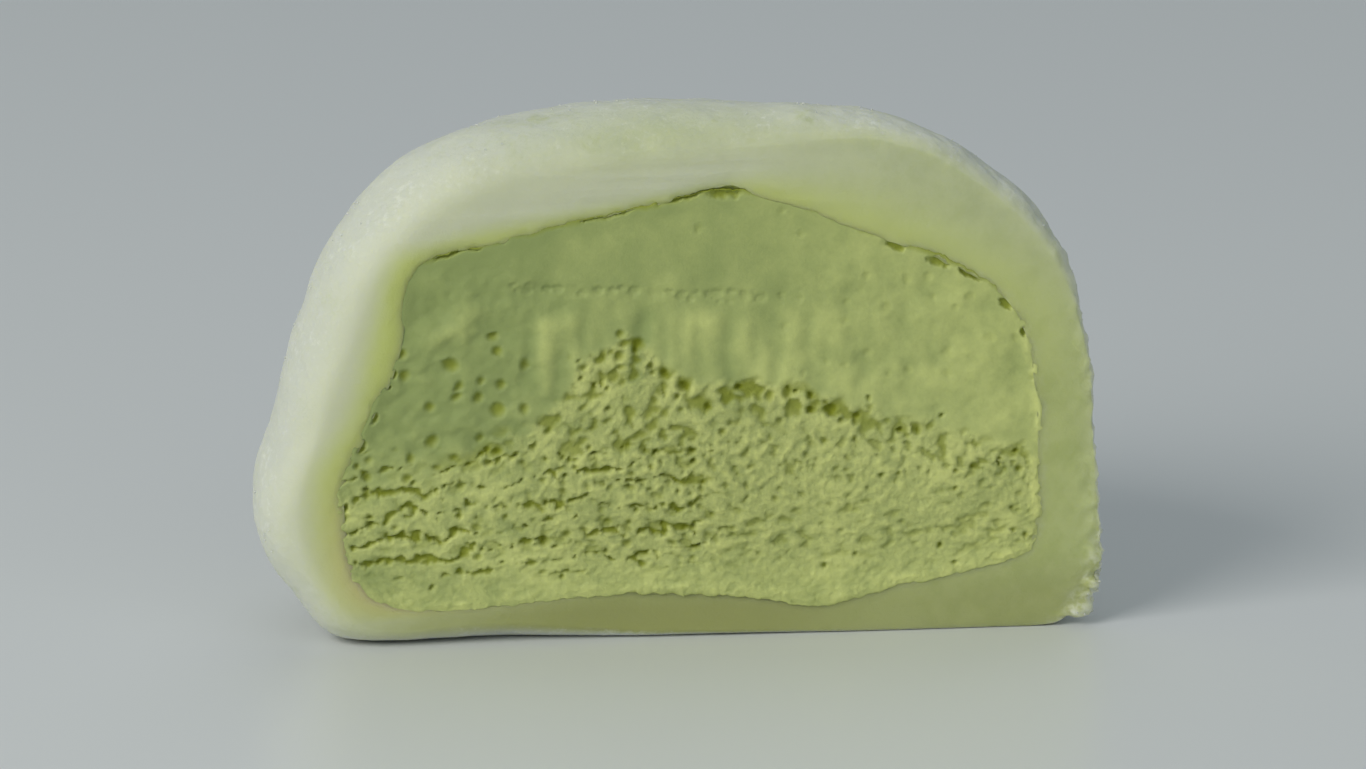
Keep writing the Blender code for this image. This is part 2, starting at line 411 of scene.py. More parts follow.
def noise(tree, vector, scale, detail=2.0, roughness=0.5, distortion=0.0):
    """Noise from about -1 to 1 at each place of the vector, turned out of the noise's own
    lattice so that nothing lines up with the axes."""
    turned = tree.nodes.new("ShaderNodeVectorRotate")
    turned.rotation_type = "EULER_XYZ"
    put(turned.inputs["Vector"], vector)
    put(turned.inputs["Rotation"], (0.6, 0.8, 0.45))
    node = tree.nodes.new("ShaderNodeTexNoise")
    for name, value in (("Vector", turned.outputs["Vector"]), ("Scale", scale), ("Detail", detail),
                        ("Roughness", roughness), ("Distortion", distortion)):
        put(node.inputs[name], value)
    return (Field(node.outputs[0]) - 0.5) * 6.0


def cells(tree, vector, scale):
    """The distance to points scattered in a plane, and a random number for each."""
    node = tree.nodes.new("ShaderNodeTexVoronoi")
    node.voronoi_dimensions = "2D"
    put(node.inputs["Vector"], vector)
    put(node.inputs["Scale"], scale)
    return Field(node.outputs["Distance"]), apart(tree, node.outputs["Color"])[0]


def kept(tree, name):
    """A number kept on the mesh, read in a geometry or a material tree."""
    if tree.bl_idname == "GeometryNodeTree":
        node = tree.nodes.new("GeometryNodeInputNamedAttribute")
        node.data_type = "FLOAT"
        put(node.inputs["Name"], name)
        return Field(node.outputs["Attribute"])
    node = tree.nodes.new("ShaderNodeAttribute")
    node.attribute_name = name
    return Field(node.outputs["Fac"])


def surface_tree(name, sizes):
    """A geometry tree with named inputs for its sizes, and their fields."""
    tree = bpy.data.node_groups.new(name, "GeometryNodeTree")
    tree.interface.new_socket("Geometry", in_out="INPUT", socket_type="NodeSocketGeometry")
    for label, size in sizes.items():
        socket = tree.interface.new_socket(label, in_out="INPUT", socket_type="NodeSocketFloat")
        socket.default_value = size
    tree.interface.new_socket("Geometry", in_out="OUTPUT", socket_type="NodeSocketGeometry")
    entry = tree.nodes.new("NodeGroupInput")
    return tree, entry.outputs["Geometry"], [Field(entry.outputs[s]) for s in sizes]


def raised(tree, geometry, offset):
    """Moves the points of the geometry by a vector."""
    node = tree.nodes.new("GeometryNodeSetPosition")
    put(node.inputs["Geometry"], geometry)
    put(node.inputs["Offset"], offset)
    return node.outputs["Geometry"]


def stored(tree, geometry, name, value):
    """Keeps a field on the points under a name, for the material to read."""
    node = tree.nodes.new("GeometryNodeStoreNamedAttribute")
    node.data_type = "FLOAT"
    put(node.inputs["Geometry"], geometry)
    put(node.inputs["Name"], name)
    put(node.inputs["Value"], value)
    return node.outputs["Geometry"]


def ended(tree, geometry, material):
    """Ends the tree with real geometry of one material."""
    real = tree.nodes.new("GeometryNodeRealizeInstances")
    put(real.inputs["Geometry"], geometry)
    finish = tree.nodes.new("GeometryNodeSetMaterial")
    put(finish.inputs["Geometry"], real.outputs["Geometry"])
    put(finish.inputs["Material"], material)
    leave = tree.nodes.new("NodeGroupOutput")
    put(leave.inputs[0], finish.outputs["Geometry"])


def grown(name, mesh, tree, sizes):
    """The plain mesh that a geometry tree makes from a mesh, as a finished object."""
    base = bpy.data.objects.new(name + "_base", mesh)
    bpy.context.scene.collection.objects.link(base)
    modifier = base.modifiers.new(name, "NODES")
    modifier.node_group = tree
    for item in tree.interface.items_tree:
        if item.in_out == "INPUT" and item.name in sizes:
            modifier[item.identifier] = sizes[item.name]
    graph = bpy.context.evaluated_depsgraph_get()
    made = bpy.data.meshes.new_from_object(base.evaluated_get(graph))
    made.name = name
    bpy.data.objects.remove(base, do_unlink=True)
    piece = bpy.data.objects.new(name, made)
    bpy.context.scene.collection.objects.link(piece)
    return piece


def blend_colours(tree, share, first, second):
    """One colour over another by a share from 0 to 1."""
    node = tree.nodes.new("ShaderNodeMix")
    node.data_type = "RGBA"
    put(node.inputs["Factor"], share)
    for slot, colour in ((node.inputs[6], first), (node.inputs[7], second)):
        put(slot, colour if isinstance(colour, bpy.types.NodeSocket) else (*colour, 1.0))
    return node.outputs[2]


def food(name, roughness, subsurface, radius, scale, specular=0.5):
    """A food surface's material, its tree, its shader and its place in millimetres."""
    material = bpy.data.materials.new(name)
    material.use_nodes = True
    tree = material.node_tree
    shader = tree.nodes["Principled BSDF"]
    shader.inputs["Roughness"].default_value = roughness
    shader.inputs["Subsurface Weight"].default_value = subsurface
    shader.inputs["Subsurface Radius"].default_value = radius
    shader.inputs["Subsurface Scale"].default_value = scale
    shader.inputs["Specular IOR Level"].default_value = specular
    place = tree.nodes.new("ShaderNodeTexCoord").outputs["Object"]
    scaled = tree.nodes.new("ShaderNodeVectorMath")
    scaled.operation = "SCALE"
    put(scaled.inputs[0], place)
    put(scaled.inputs["Scale"], 1 / MM)
    return material, tree, shader, scaled.outputs["Vector"]


def bumped(tree, shader, height, distance, strength=1.0):
    """Gives the shader a fine relief, from a height field in units of the distance."""
    bump = tree.nodes.new("ShaderNodeBump")
    put(bump.inputs["Height"], height)
    put(bump.inputs["Distance"], distance)
    put(bump.inputs["Strength"], strength)
    put(shader.inputs["Normal"], bump.outputs["Normal"])


FLOURY_SKIN = (0.61, 0.635, 0.53)
CUT_SKIN = (0.605, 0.63, 0.445)
BARE_SKIN = (0.49, 0.54, 0.24)
BARE_DEEP = (0.41, 0.465, 0.185)
# painted glow of the filling's green through the dough
FILLING_GLOW_SKIN = (0.56, 0.62, 0.185)
WARM_SKIN = (0.60, 0.50, 0.27)
# painted shade of the damp foot strip
SHADED_DAMP_SKIN = (0.35, 0.37, 0.13)
STARCH = (0.74, 0.76, 0.68)

dough_material, tree, shader, place = food(
    "rice_dough", 0.5, 0.8, (1.0, 0.95, 0.55), 2.0 * MM)
outer = 1 - kept(tree, "cut")
patches = noise(tree, place, 0.22, 4.0, 0.6)
specks = noise(tree, place, 2.4, 5.0, 0.7)
worn = (patches * 0.7 + specks * 0.35).rise(0.1, 1.3) * outer * 0.55
flour = kept(tree, "flour") + patches * 0.05 + specks * 0.03 - worn
glow_here = kept(tree, "glow") + patches * 0.02
outer_skin = blend_colours(tree, kept(tree, "cut"), FLOURY_SKIN, CUT_SKIN)
blotches = noise(tree, place, 0.5, 3.0, 0.6)
bare_skin = blend_colours(tree, (blotches * 0.55 + 0.4).rise(0.0, 1.0), BARE_SKIN, BARE_DEEP)
skin = blend_colours(tree, flour.rise(0.0, 1.0), bare_skin, outer_skin)
skin = blend_colours(tree, glow_here.rise(0.0, 1.0), skin, FILLING_GLOW_SKIN)
skin = blend_colours(tree, kept(tree, "warm"), skin, WARM_SKIN)
skin = blend_colours(tree, kept(tree, "shaded_damp_foot"), skin, SHADED_DAMP_SKIN)
dusting = (specks * 0.8 - patches * 0.6).rise(0.2, 1.4) * outer * 0.7
skin = blend_colours(tree, dusting, skin, STARCH)
# Pale flecks on the torn edge, and the painted highlight along the joint on the right.
flecks = kept(tree, "frayed_and_rim_highlight") * (0.75 + noise(tree, place, 1.2, 3.0, 0.6) * 0.8)
skin = blend_colours(tree, flecks.rise(0.0, 1.0), skin, CUT_SKIN)
put(shader.inputs["Base Color"], skin)
put(shader.inputs["Roughness"], 0.40 + flour.rise(0.2, 1.0) * 0.18)
pimples = noise(tree, place, 1.1, 4.0, 0.62) * (0.3 + outer * 0.7)
bumped(tree, shader, pimples + noise(tree, place, 7.0, 3.0, 0.6) * 0.12, 0.04 * MM, 0.6)

dough_sizes = {"Unevenness": 0.18, "Grain": 0.018, "Streak Depth": 0.03, "Torn Edge": 0.55,
               "Mouth Sway": 0.12}
tree, geometry, (unevenness, grain, streak_depth, torn_edge, mouth_sway) = surface_tree(
    "dough_surface", dough_sizes)
position = tree.nodes.new("GeometryNodeInputPosition").outputs[0]
normal = tree.nodes.new("GeometryNodeInputNormal").outputs[0]
x, y, z = [axis * (1 / MM) for axis in apart(tree, position)]
here = along(tree, x, y, z)
cut_here = kept(tree, "cut")
swell = noise(tree, here, 0.13, 2.0) * unevenness * (1 - cut_here * 0.7)
swell = swell + noise(tree, here, 0.9, 3.0, 0.6) * grain * (1 - cut_here * 0.6)
drag = noise(tree, along(tree, x * 0.07, y * 0.3, z * 1.5), 1.0, 3.0, 0.6)
swell = swell + drag * streak_depth * kept(tree, "crown")
ragged = noise(tree, here, 1.1, 3.0, 0.6).most(-0.4) + noise(tree, here, 0.5, 2.0) * 0.3
swell = swell + ragged * torn_edge * kept(tree, "torn")
swell = swell * z.rise(0.0, 0.6)
push = tree.nodes.new("ShaderNodeVectorMath")
push.operation = "SCALE"
put(push.inputs[0], normal)
put(push.inputs["Scale"], swell * MM)
geometry = raised(tree, geometry, push.outputs["Vector"])
sway = kept(tree, "mouth") * mouth_sway * MM
aside = noise(tree, along(tree, x + 41.0, 7.0, z), 1.2, 3.0, 0.6) * sway
upright = noise(tree, along(tree, x, 57.0, z + 23.0), 1.2, 3.0, 0.6) * sway
geometry = raised(tree, geometry, along(tree, aside, 0.0, upright))
ended(tree, geometry, dough_material)

dough = grown("rice_dough_skin", dough_mesh, tree, dough_sizes)
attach(dough, "root")
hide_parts("rice_dough")


# ---- Green tea ice cream -------------------------------------------------------------
# Milk ice cream with ground green tea, frozen hard before it is wrapped, and whipped
# with air. The knife smears its upper part smooth, and tears the air bubbles open in the
# lower part into pores, crumbs and long cracks between its layers.

FACE_COLUMNS = 390
FACE_ROWS = 230
BACK_RINGS = 5
FACE_CORNERS = np.radians([-14.5, 27.0, 143.5, 205.0])
ice_cream_edge = around(0.08, 0.06, 0.06, 0.06, 0.06, 0.06, 0.16, 0.12)
# Nicks where the border broke out: angle in degrees, half length and half width.
NICKS = [(19.3, 0.30, 0.20), (24.4, 0.45, 0.28), (31.6, 0.60, 0.18), (36.7, 0.60, 0.26),
         (44.1, 0.60, 0.26), (79.5, 1.00, 0.27), (88.5, 1.30, 0.09), (104.0, 1.60, 0.06),
         (134.5, 1.10, 0.08), (160.8, 0.28, 0.18), (163.2, 0.20, 0.15), (170.0, 0.36, 0.18),
         (176.0, 0.18, 0.14), (186.5, 0.30, 0.20)]


def face_border(theta):
    """A place (x, z) on the border of the flat cut face."""
    out = ice_cream_reach(theta) - ice_cream_edge(theta)
    return np.stack([out * np.cos(theta), CORE_HEIGHT + out * np.sin(theta)], axis=-1)


def ice_cream_mesh():
    """A lattice of even cells over the cut face, stretched between its four sides, with
    the dome of the ball drawn back from its border."""
    right_low, right_top, left_top, left_low = FACE_CORNERS
    right_low_again = right_low + math.tau
    sides = [even_turns(face_border, *span) for span in (
        (left_low, right_low_again, FACE_COLUMNS), (left_top, right_top, FACE_COLUMNS),
        (left_low, left_top, FACE_ROWS), (right_low, right_top, FACE_ROWS))]
    foot_side, top_side, left_side, right_side = [face_border(turn) for turn in sides]
    u = np.linspace(0, 1, FACE_COLUMNS + 1)[None, :, None]
    v = np.linspace(0, 1, FACE_ROWS + 1)[:, None, None]
    flat = foot_side[None] * (1 - v) + top_side[None] * v
    flat = flat + left_side[:, None] * (1 - u) + right_side[:, None] * u
    flat = flat - (foot_side[0] * (1 - u) + foot_side[-1] * u) * (1 - v)
    flat = flat - (top_side[0] * (1 - u) + top_side[-1] * u) * v
    flat = flat.reshape(-1, 2)
    front = np.stack([flat[:, 0], np.zeros(len(flat)), flat[:, 1]], axis=-1)

    number = np.arange(len(flat)).reshape(FACE_ROWS + 1, FACE_COLUMNS + 1)
    quads = np.stack([number[:-1, :-1], number[:-1, 1:], number[1:, 1:], number[1:, :-1]], -1)
    border = np.concatenate([number[0, :-1], number[:-1, -1], number[-1, :0:-1], number[:0:-1, 0]])
    border_theta = np.concatenate([sides[0][:-1], sides[3][:-1], sides[1][:0:-1],
                                   sides[2][:0:-1]])

    rings = []
    for step in range(1, 4):
        turn = math.pi / 2 * step / 3
        edge = ice_cream_edge(border_theta)
        out = ice_cream_reach(border_theta) - edge * (1 - math.sin(turn))
        rings.append(np.stack([out * np.cos(border_theta), edge * (1 - math.cos(turn)),
                               CORE_HEIGHT + out * np.sin(border_theta)], axis=-1))
    depth = CAKE_DEPTH - BACK_WALL - 0.2
    back = []
    for direction in border_theta:
        size, y = dome_arc(ice_cream_reach(direction), depth, dome_fullness(direction),
                           BACK_RINGS, ice_cream_edge(direction))
        back.append(core_line(direction, ice_cream_reach(direction) * size, y)[-2:0:-1])
    rings.extend(np.array(back).transpose(1, 0, 2))
    count = len(border)
    points = np.concatenate([front, *rings, [[0.0, depth, CORE_HEIGHT]]])
    ring_numbers = len(front) + np.arange(len(rings) * count).reshape(-1, count)
    rim = np.concatenate([border[None], ring_numbers])
    beside = np.roll(rim, -1, axis=1)
    walls = np.stack([rim[:-1], rim[1:], beside[1:], beside[:-1]], -1).reshape(-1, 4)
    pole = np.stack([rim[-1], np.full(count, len(points) - 1), beside[-1]], -1)
    mesh = bpy.data.meshes.new("ice_cream_filling")
    mesh.from_pydata(((points + PLACE) * MM).tolist(), [],
                     quads.reshape(-1, 4).tolist() + walls.tolist() + pole.tolist())
    mesh.shade_smooth()

    outline = smooth_loop(ICE_CREAM_OUTLINE, 40)
    rim_distance = np.full(len(points), 0.0)
    for start in range(0, len(front), 4000):
        stop = min(start + 4000, len(front))
        some = front[start:stop, None, [0, 2]] - outline[None]
        rim_distance[start:stop] = np.sqrt((some**2).sum(-1).min(1))
    on_face = np.zeros(len(points))
    on_face[:len(front)] = np.clip(rim_distance[:len(front)] / 0.35, 0, 1)
    turn = np.degrees(np.arctan2(front[:, 2] - CORE_HEIGHT, front[:, 0])) % 360
    nick = np.zeros(len(points))
    for angle, length, width in NICKS:
        along_rim = np.radians(turn - angle) * ice_cream_reach(math.radians(angle)) / length
        joint = -0.04 - mouth_lap(math.radians(angle)) - min(parting(math.radians(angle)), 0.16)
        beside_rim = (rim_distance[:len(front)] - joint - width) / width
        one = np.exp(-(np.abs(along_rim) ** 2.5) - beside_rim**2)
        nick[:len(front)] = np.maximum(nick[:len(front)], one)
    give(mesh, "face", on_face)
    give(mesh, "rim", rim_distance)
    give(mesh, "nick", nick)
    return mesh


ICE_GREEN = (0.29, 0.355, 0.12)
ICE_PALE = (0.665, 0.71, 0.25)
# painted shade in the pores and cracks
ICE_PORE_SHADE = (0.26, 0.30, 0.02)

ice_cream_material, tree, shader, place = food(
    "green_tea_ice_cream", 0.7, 0.15, (1.0, 1.0, 0.5), 0.5 * MM, 0.3)
mottle = noise(tree, place, 0.35, 4.0, 0.6)
fine = noise(tree, place, 4.5, 4.0, 0.7)
# Paler by the field called light, which carries painted light and shade, and by the ice cream's own
# mottle.
paler = kept(tree, "light") + mottle * 0.07 + fine * (0.03 + kept(tree, "crumb") * 0.05)
green = blend_colours(tree, paler.rise(0.0, 1.0), ICE_GREEN, ICE_PALE)
green = blend_colours(tree, kept(tree, "pore_shade"), green, ICE_PORE_SHADE)
put(shader.inputs["Base Color"], green)
put(shader.inputs["Roughness"], 0.55 + kept(tree, "crumb") * 0.25)
bumped(tree, shader, noise(tree, place, 5.0, 5.0, 0.75) * (0.2 + kept(tree, "crumb") * 0.8),
       0.03 * MM, 0.8)

relief_sizes = {
    "Pore Depth": 0.25,
    "Crumb Depth": 0.17,
    "Crack Depth": 0.24,
    "Grit Height": 0.024,
    "Smear Height": 0.055,
    "Streak Height": 0.14,
    "Rim Height": 0.08,
    "Border Sway": 0.12,
}
tree, geometry, fields = surface_tree("ice_cream_relief", relief_sizes)
pore_depth, crumb_depth, crack_depth, grit_height = fields[:4]
smear_height, streak_height, rim_height, border_sway = fields[4:]
x, y, z = [axis * (1 / MM) for axis in apart(
    tree, tree.nodes.new("GeometryNodeInputPosition").outputs[0])]
x = x - PLACE[0]
here = along(tree, x, 0.0, z)
face, rim = kept(tree, "face"), kept(tree, "rim")


def flow(across, upright, seed, detail=2.0, roughness=0.5):
    """Noise over the face with its own pitch across and upright."""
    spot = along(tree, x * across + 30.0, seed, z * upright)
    return noise(tree, spot, 1.0, detail, roughness)


bent_x = x + flow(0.45, 0.45, 11.0) * 0.14 + flow(2.4, 2.4, 13.0) * 0.03
bent_z = z + flow(0.45, 0.45, 17.0) * 0.14 + flow(2.4, 2.4, 19.0) * 0.03


def grains(pitch, seed, stretch=1.0):
    """Distance to scattered grains in units of their pitch, and each grain's luck."""
    spot = along(tree, bent_x * (1 / stretch) + seed * 9.7, bent_z + seed * 5.3, 0.0)
    return cells(tree, spot, 1 / pitch)


def pits(pitch, share, radius, seed, stretch=1.0):
    """Round pits of uneven size, in each cell whose luck is within the share."""
    distance, luck = grains(pitch, seed, stretch)
    size = ((share - luck) * 2.5).math("ADD", 0.0, clamp=True) * 0.65 + 0.35
    return (size * (radius / pitch) - distance).rise(-0.18, 0.12) * luck.math("LESS_THAN", share)


# Where the smeared upper part ends, as shares of the face's width and height: a peak left
# of the middle, low at both sides.
FACE_WIDTH = 40.0
FACE_HEIGHT = 24.0
edge_curve = tree.nodes.new("ShaderNodeFloatCurve")
points = edge_curve.mapping.curves[0].points
points[0].location = (0.0, 0.46)
points[1].location = (1.0, 0.43)
for spot in ((0.20, 0.47), (0.28, 0.50), (0.34, 0.57), (0.40, 0.68), (0.44, 0.70),
             (0.51, 0.62), (0.64, 0.595), (0.74, 0.55), (0.89, 0.47)):
    points.new(*spot)
put(edge_curve.inputs["Value"], (x + FACE_WIDTH / 2) * (1 / FACE_WIDTH))
below = Field(edge_curve.outputs[0]) * FACE_HEIGHT + flow(0.7, 0.7, 3.0) * 0.35 - z
crumbly = below.rise(-0.3, 0.6 + (1 - x.rise(-16.0, -9.0)) * 3.5)
edge_band = below.rise(-0.9, 0.1) * (1 - below.rise(0.8, 2.6))
right_side = x.rise(3.0, 14.0)
left_side = 1 - x.rise(-11.0, -3.0)
foot = 1 - z.rise(3.2, 6.0)

# The torn part: clumps whose tops the knife left, and ragged open holes between them,
# coarse under the smeared part, finer to the right and drawn out in flakes at the foot.
lumpy = noise(tree, along(tree, bent_x, 5.0, bent_z), 1.1, 1.2, 0.5)
grainy = noise(tree, along(tree, bent_x, 25.0, bent_z), 1.8, 1.2, 0.5)
flaky = noise(tree, along(tree, x + z * 0.1, 35.0, (z - x * 0.1) * 1.8), 1.15, 1.2, 0.5)
low = 1 - z.rise(6.0, 9.0)
open_part = edge_band.most(x.rise(-14.0, -10.0) * (1 - x.rise(-1.0, 5.0)) * z.rise(9.5, 11.5) * 0.7)
grainy_share = (right_side * 1.2 + below.rise(2.0, 4.0) - open_part * 0.7).rise(0.2, 0.8)
clumpy = lumpy * (1 - grainy_share) + grainy * grainy_share
clumpy = clumpy * (1 - low) + flaky * low
holes = (open_part * 0.46 - clumpy - 0.32).rise(0.0, 0.70) * (0.4 + z.rise(2.8, 4.8) * 0.6)
domes = clumpy.rise(-0.2, 1.2)
grit = noise(tree, along(tree, bent_x, 45.0, bent_z), 3.1, 1.0, 0.5)
torn_part = crumbly * (1 - left_side * 0.45) * (1 - foot * 0.65) * (1 - right_side * 0.25)

# Rows of cracks between the layers, at the lower left, rising a little to the right.
tilted = z - x * 0.105 + flow(0.25, 0.25, 29.0) * 0.45 + flow(1.0, 1.0, 31.0, 1.0) * 0.22
row = (tilted * (1 / 1.2)).math("FRACT")
opening = flow(0.28, 0.9, 37.0, 1.0).rise(-0.45, 0.75) * 0.17
opening = opening + flow(2.2, 2.0, 41.0, 1.0) * 0.11 - 0.03
crack = (opening - (row - 0.5).math("ABSOLUTE")).rise(-0.07, 0.09)
layered = (1 - x.rise(-5.0, 7.0)) * z.rise(3.3, 4.9) * (1 - z.rise(9.8, 11.8))
crack = crack * layered.rise(0.1, 0.6)

pores = pits(1.3, left_side * z.rise(10.0, 11.5) * (1 - z.rise(15.0, 19.0)) * 0.48, 0.33, 1.0)
pores = pores.most(pits(1.15, edge_band * 0.26, 0.36, 6.0))
pores = pores.most(pits(0.8, edge_band * 0.16 + crumbly * 0.05, 0.24, 5.0))
pores = pores.most(pits(0.9, layered * 0.28, 0.2, 8.0, 1.3) * 0.8)
faint = pits(1.15, z.rise(13.5, 15.0) * (0.05 + right_side * 0.30), 0.24, 9.0) * 0.30
broken = flow(1.7, 1.7, 77.0, 2.0) * kept(tree, "nick").rise(0.05, 0.4) * 0.24
nick = (kept(tree, "nick") + broken).rise(0.25, 0.85)

# Marks of the knife in the smeared part: upright strokes and a row of small dents.
strokes = flow(0.62, 0.13, 43.0, 1.0) * z.rise(12.0, 15.0) * (1 - z.rise(17.6, 19.2))
strokes = strokes * x.rise(-11.0, -6.0) * (1 - x.rise(4.0, 12.0) * 0.75)
line = (1 - (z - 19.35 + x * 0.065).math("ABSOLUTE") * 2.2).most(0.0)
line = line * x.rise(-9.5, -8.0) * (1 - x.rise(5.0, 8.0))
dents = pits(0.75, line * 1.6, 0.26, 15.0) * 0.10
dents = dents + line * flow(0.8, 0.3, 47.0).rise(-0.5, 1.0) * 0.08
cloudy = (0.35 + left_side * 0.9 + right_side * 0.35) * (1 - z.rise(19.5, 22.0) * 0.7)
smear = (flow(0.38, 0.45, 53.0, 1.0) * 1.7 + flow(0.95, 1.05, 59.0, 1.0) * 0.8) * cloudy

height = domes * torn_part * 0.10 + grit * crumbly * grit_height - holes * torn_part * crumb_depth
smooth_part = (1 - crumbly) * rim.rise(0.3, 1.3)
height = height + (smear * smear_height + strokes * streak_height) * smooth_part - dents
height = height + (1 - rim.rise(0.3, 1.0)) * 0.03
notches = flow(1.0, 1.0, 61.0).rise(-0.7, 0.6)
rim_line = (right_side * (1 - z.rise(15.0, 18.5) * 0.85)).most((1 - z.rise(3.0, 6.0)) * 0.4)
rim_line = (1 - rim.rise(0.35, 0.9)) * notches * rim_line
height = height + rim_height * rim_line
# Painted shade along the filling's border on the left, where the dough's lip stands over it.
painted_border_shade = (1 - rim.rise(0.0, 1.5)) * (1 - x.rise(-6.0, 6.0)) * z.rise(3.0, 7.0)
height = height - (pores + faint) * pore_depth - crack * crack_depth
height = height * face - nick * pore_depth
sway = (1 - rim.rise(0.3, 1.1)) * border_sway
aside, upright = flow(1.0, 1.0, 71.0, 3.0, 0.6) * sway, flow(1.0, 1.0, 73.0, 3.0, 0.6) * sway
geometry = raised(tree, geometry, along(tree, aside * MM, height * -MM, upright * MM))
# Painted shade in the pores, holes, cracks, nicks and the slit under the crown, darker where they
# go deeper.
depth = (holes * torn_part).most(faint) * (0.42 + open_part * 0.42) + pores.most(crack * 1.1) * 0.82
slit = ((1 - face) * z.rise(17.0, 19.0)).most(nick) * 0.9
geometry = stored(tree, geometry, "pore_shade", (depth * face).most(slit).math("ADD", 0.0, clamp=True))
geometry = stored(tree, geometry, "crumb", torn_part)
# Painted light and shade in the filling's colour: lighter to the right, darker at the upper left in
# the shade of the dough's lip, painted highlights on the knife strokes, on the tops of the crumbs
# and along the raised rim, painted shade along the left border, and darker at the lower left
# corner. The paler crumbly part, the grit and the mottle are the ice cream's own colour.
lit = 0.285 + right_side * 0.205 - left_side * z.rise(8.0, 14.0) * 0.22 + strokes * 0.26
lit = lit + crumbly * (0.23 - right_side * 0.17) + domes * torn_part * 0.26 + smear * 0.055
lit = lit + grit * crumbly * 0.05
lit = lit + flow(0.9, 0.9, 67.0) * 0.045 + rim_line * 0.27 - painted_border_shade * 0.14
lit = lit - (1 - x.rise(-15.5, -11.0)) * (1 - z.rise(3.0, 6.0)) * 0.13
geometry = stored(tree, geometry, "light", lit)
ended(tree, geometry, ice_cream_material)

ice_cream = grown("ice_cream_filling", ice_cream_mesh(), tree, relief_sizes)
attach(ice_cream, "root")
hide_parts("ice_cream")


# ---- Starch clumps and torn crumbs ---------------------------------------------------
# Potato starch keeps the dough from sticking, and stays on its outside in small clumps,
# in drifts where no finger rubbed it off. The knife left a few crumbs of dough along the
# lower right edge, where it tore the skin.

STARCH_GREY = (0.63, 0.66, 0.56)

starch_material, tree, shader, place = food(
    "potato_starch", 0.8, 0.4, (1.0, 1.0, 0.9), 0.3 * MM, 0.3)
damp = noise(tree, place, 0.8, 3.0, 0.6).rise(-0.4, 0.8)
powder = blend_colours(tree, damp, STARCH, STARCH_GREY)
put(shader.inputs["Base Color"], blend_colours(tree, kept(tree, "dough"), powder, FLOURY_SKIN))
bumped(tree, shader, noise(tree, place, 14.0, 2.0), 0.02 * MM, 0.6)


def scattered(tree, surface, density, smallest, largest, seed, dough_share):
    """Rough little lumps of starch or dough strewn over a surface, half sunk in it."""
    spread = tree.nodes.new("GeometryNodeDistributePointsOnFaces")
    put(spread.inputs["Mesh"], surface)
    put(spread.inputs["Density"], density)
    put(spread.inputs["Seed"], seed)
    lump = tree.nodes.new("GeometryNodeMeshIcoSphere")
    put(lump.inputs["Radius"], 1.0)
    put(lump.inputs["Subdivisions"], 2)
    size = tree.nodes.new("FunctionNodeRandomValue")
    size.data_type = "FLOAT_VECTOR"
    put(size.inputs["Seed"], seed + 1)
    for slot, edge in zip(size.inputs, (smallest, largest)):
        put(slot, along(tree, edge, edge, edge))
    place_lumps = tree.nodes.new("GeometryNodeInstanceOnPoints")
    put(place_lumps.inputs["Points"], spread.outputs["Points"])
    put(place_lumps.inputs["Instance"], stored(tree, lump.outputs["Mesh"], "dough", dough_share))
    put(place_lumps.inputs["Rotation"], spread.outputs["Rotation"])
    put(place_lumps.inputs["Scale"], size.outputs[0])
    return place_lumps.outputs["Instances"]


starch_sizes = {"Starch Density": 9.0e5, "Smallest Clump": 0.03 * MM, "Largest Clump": 0.085 * MM,
                "Crumb Density": 2.6e6, "Smallest Crumb": 0.04 * MM, "Largest Crumb": 0.12 * MM,
                "Roughness": 0.03 * MM}
tree, geometry, fields = surface_tree("starch_scatter", starch_sizes)
starch_density, clump_least, clump_most, crumb_density, crumb_least, crumb_most, lumpiness = fields
x, y, z = [axis * (1 / MM) for axis in apart(
    tree, tree.nodes.new("GeometryNodeInputPosition").outputs[0])]
here = along(tree, x, y, z)
drifts = noise(tree, here, 0.25, 3.0, 0.6).rise(-0.2, 1.0)
outside = (1 - kept(tree, "cut")).rise(0.6, 1.0) * z.rise(0.4, 0.6)
clumps = scattered(tree, geometry, starch_density * outside * drifts, clump_least, clump_most,
                   5, 0.0)
edge = kept(tree, "torn").rise(0.5, 1.0) * (1 - z.rise(2.5, 7.0)) * z.rise(0.4, 0.6)
crumbs = scattered(tree, geometry, crumb_density * edge, crumb_least, crumb_most, 11, 0.8)
both = tree.nodes.new("GeometryNodeJoinGeometry")
put(both.inputs[0], clumps)
put(both.inputs[0], crumbs)
real = tree.nodes.new("GeometryNodeRealizeInstances")
put(real.inputs["Geometry"], both.outputs[0])
wobble = lumpiness * noise(tree, here, 9.0, 1.0)
sideways = lumpiness * noise(tree, along(tree, x + 50.0, y, z), 9.0, 1.0)
rough = raised(tree, real.outputs["Geometry"], along(tree, wobble, sideways, wobble * 0.5))
smooth = tree.nodes.new("GeometryNodeSetShadeSmooth")
put(smooth.inputs["Geometry"], rough)
ended(tree, smooth.outputs["Geometry"], starch_material)

starch = grown("starch_clumps", dough.data, tree, starch_sizes)
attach(starch, "root")
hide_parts("rice_dough")


# ---- Floor, light and camera ---------------------------------------------------------
# A plain pale floor under a large soft lamp at the upper left, which grazes the cut face,
# with a weak lamp above and behind and a weak fill from the front right. The camera looks
# a little down and to the right.

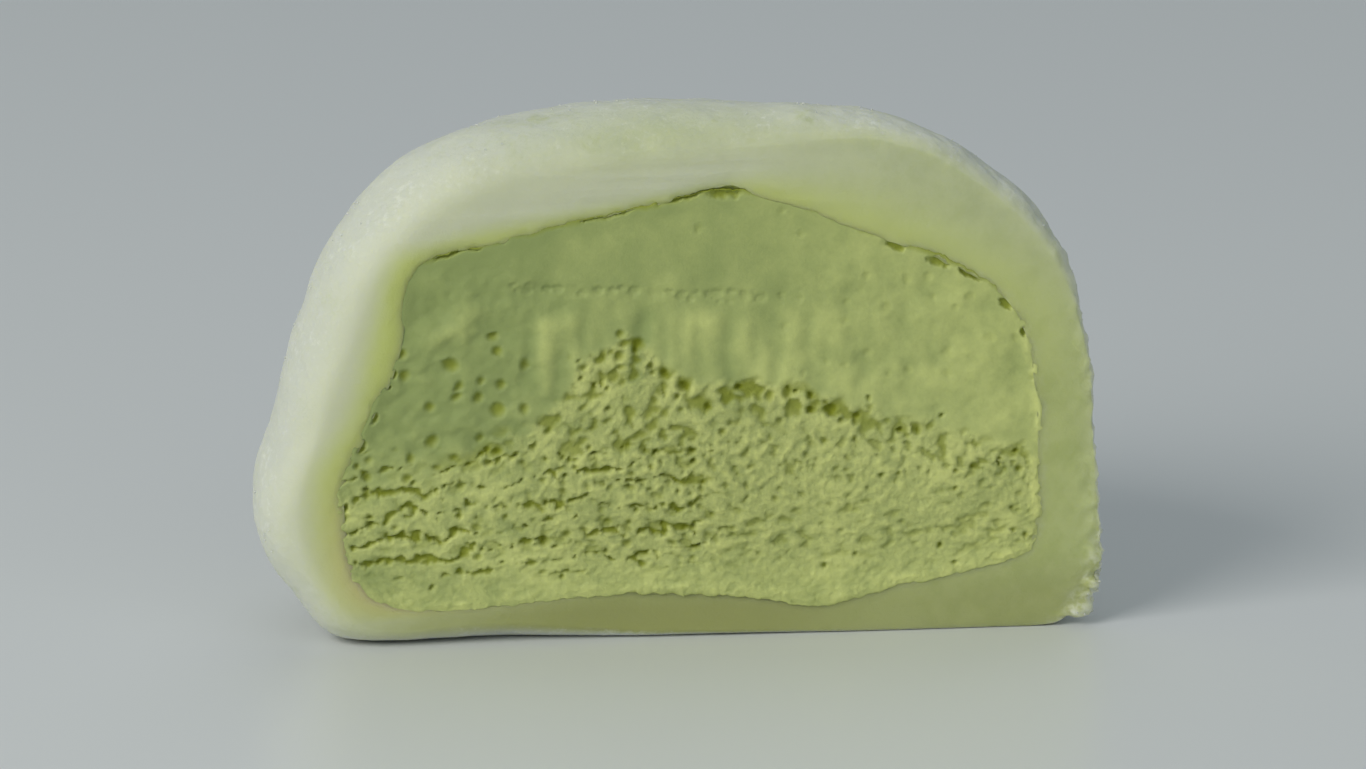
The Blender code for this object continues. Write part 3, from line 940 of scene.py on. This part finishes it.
floor_mesh = bpy.data.meshes.new("floor")
floor_bm = bmesh.new()
bmesh.ops.create_grid(floor_bm, x_segments=1, y_segments=1, size=1.5)
floor_bm.to_mesh(floor_mesh)
floor_bm.free()
floor = bpy.data.objects.new("floor", floor_mesh)
bpy.context.scene.collection.objects.link(floor)
floor_material = bpy.data.materials.new("pale_floor")
floor_material.use_nodes = True
floor_shader = floor_material.node_tree.nodes["Principled BSDF"]
floor_shader.inputs["Base Color"].default_value = (0.70, 0.72, 0.71, 1.0)
floor_shader.inputs["Roughness"].default_value = 0.35
floor_mesh.materials.append(floor_material)

world = bpy.data.worlds.new("studio")
bpy.context.scene.world = world
world.use_nodes = True
world.node_tree.nodes["Background"].inputs["Color"].default_value = (0.72, 0.82, 0.88, 1.0)
world.node_tree.nodes["Background"].inputs["Strength"].default_value = 0.30

SUBJECT = Vector((0.0, cut_y * MM, 0.0143))


def soft_lamp(name, direction, distance, size, watts, colour):
    """A square area lamp that faces the cake."""
    data = bpy.data.lights.new(name, "AREA")
    data.size = size
    data.energy = watts
    data.color = colour
    lamp = bpy.data.objects.new(name, data)
    bpy.context.scene.collection.objects.link(lamp)
    back = Vector(direction).normalized()
    lamp.location = SUBJECT + back * distance
    lamp.rotation_mode = "QUATERNION"
    lamp.rotation_quaternion = back.to_track_quat("Z", "Y")


soft_lamp("key", (-0.68, -0.50, 0.53), 0.6, 0.36, 2.4, (1.0, 0.98, 0.95))
soft_lamp("top", (0.15, 0.50, 1.0), 0.7, 0.5, 0.65, (0.95, 0.98, 1.0))
soft_lamp("fill", (0.45, -1.0, 0.5), 0.9, 0.8, 1.0, (0.95, 0.98, 1.0))

VIEW_DISTANCE = 0.4213
VIEW_TURN = math.radians(7.1)
VIEW_DOWN = math.radians(13.9)
camera_data = bpy.data.cameras.new("camera")
camera_data.lens = 205.0
camera_data.sensor_width = 36.0
camera = bpy.data.objects.new("camera", camera_data)
bpy.context.scene.collection.objects.link(camera)
ahead = Vector((math.sin(VIEW_TURN) * math.cos(VIEW_DOWN),
                math.cos(VIEW_TURN) * math.cos(VIEW_DOWN),
                -math.sin(VIEW_DOWN)))
camera.location = SUBJECT - ahead * VIEW_DISTANCE
camera.rotation_mode = "QUATERNION"
camera.rotation_quaternion = ahead.to_track_quat("-Z", "Y")
camera_data.clip_start = 0.01
camera_data.clip_end = 10.0
bpy.context.scene.camera = camera
bpy.context.scene.view_settings.view_transform = "Standard"
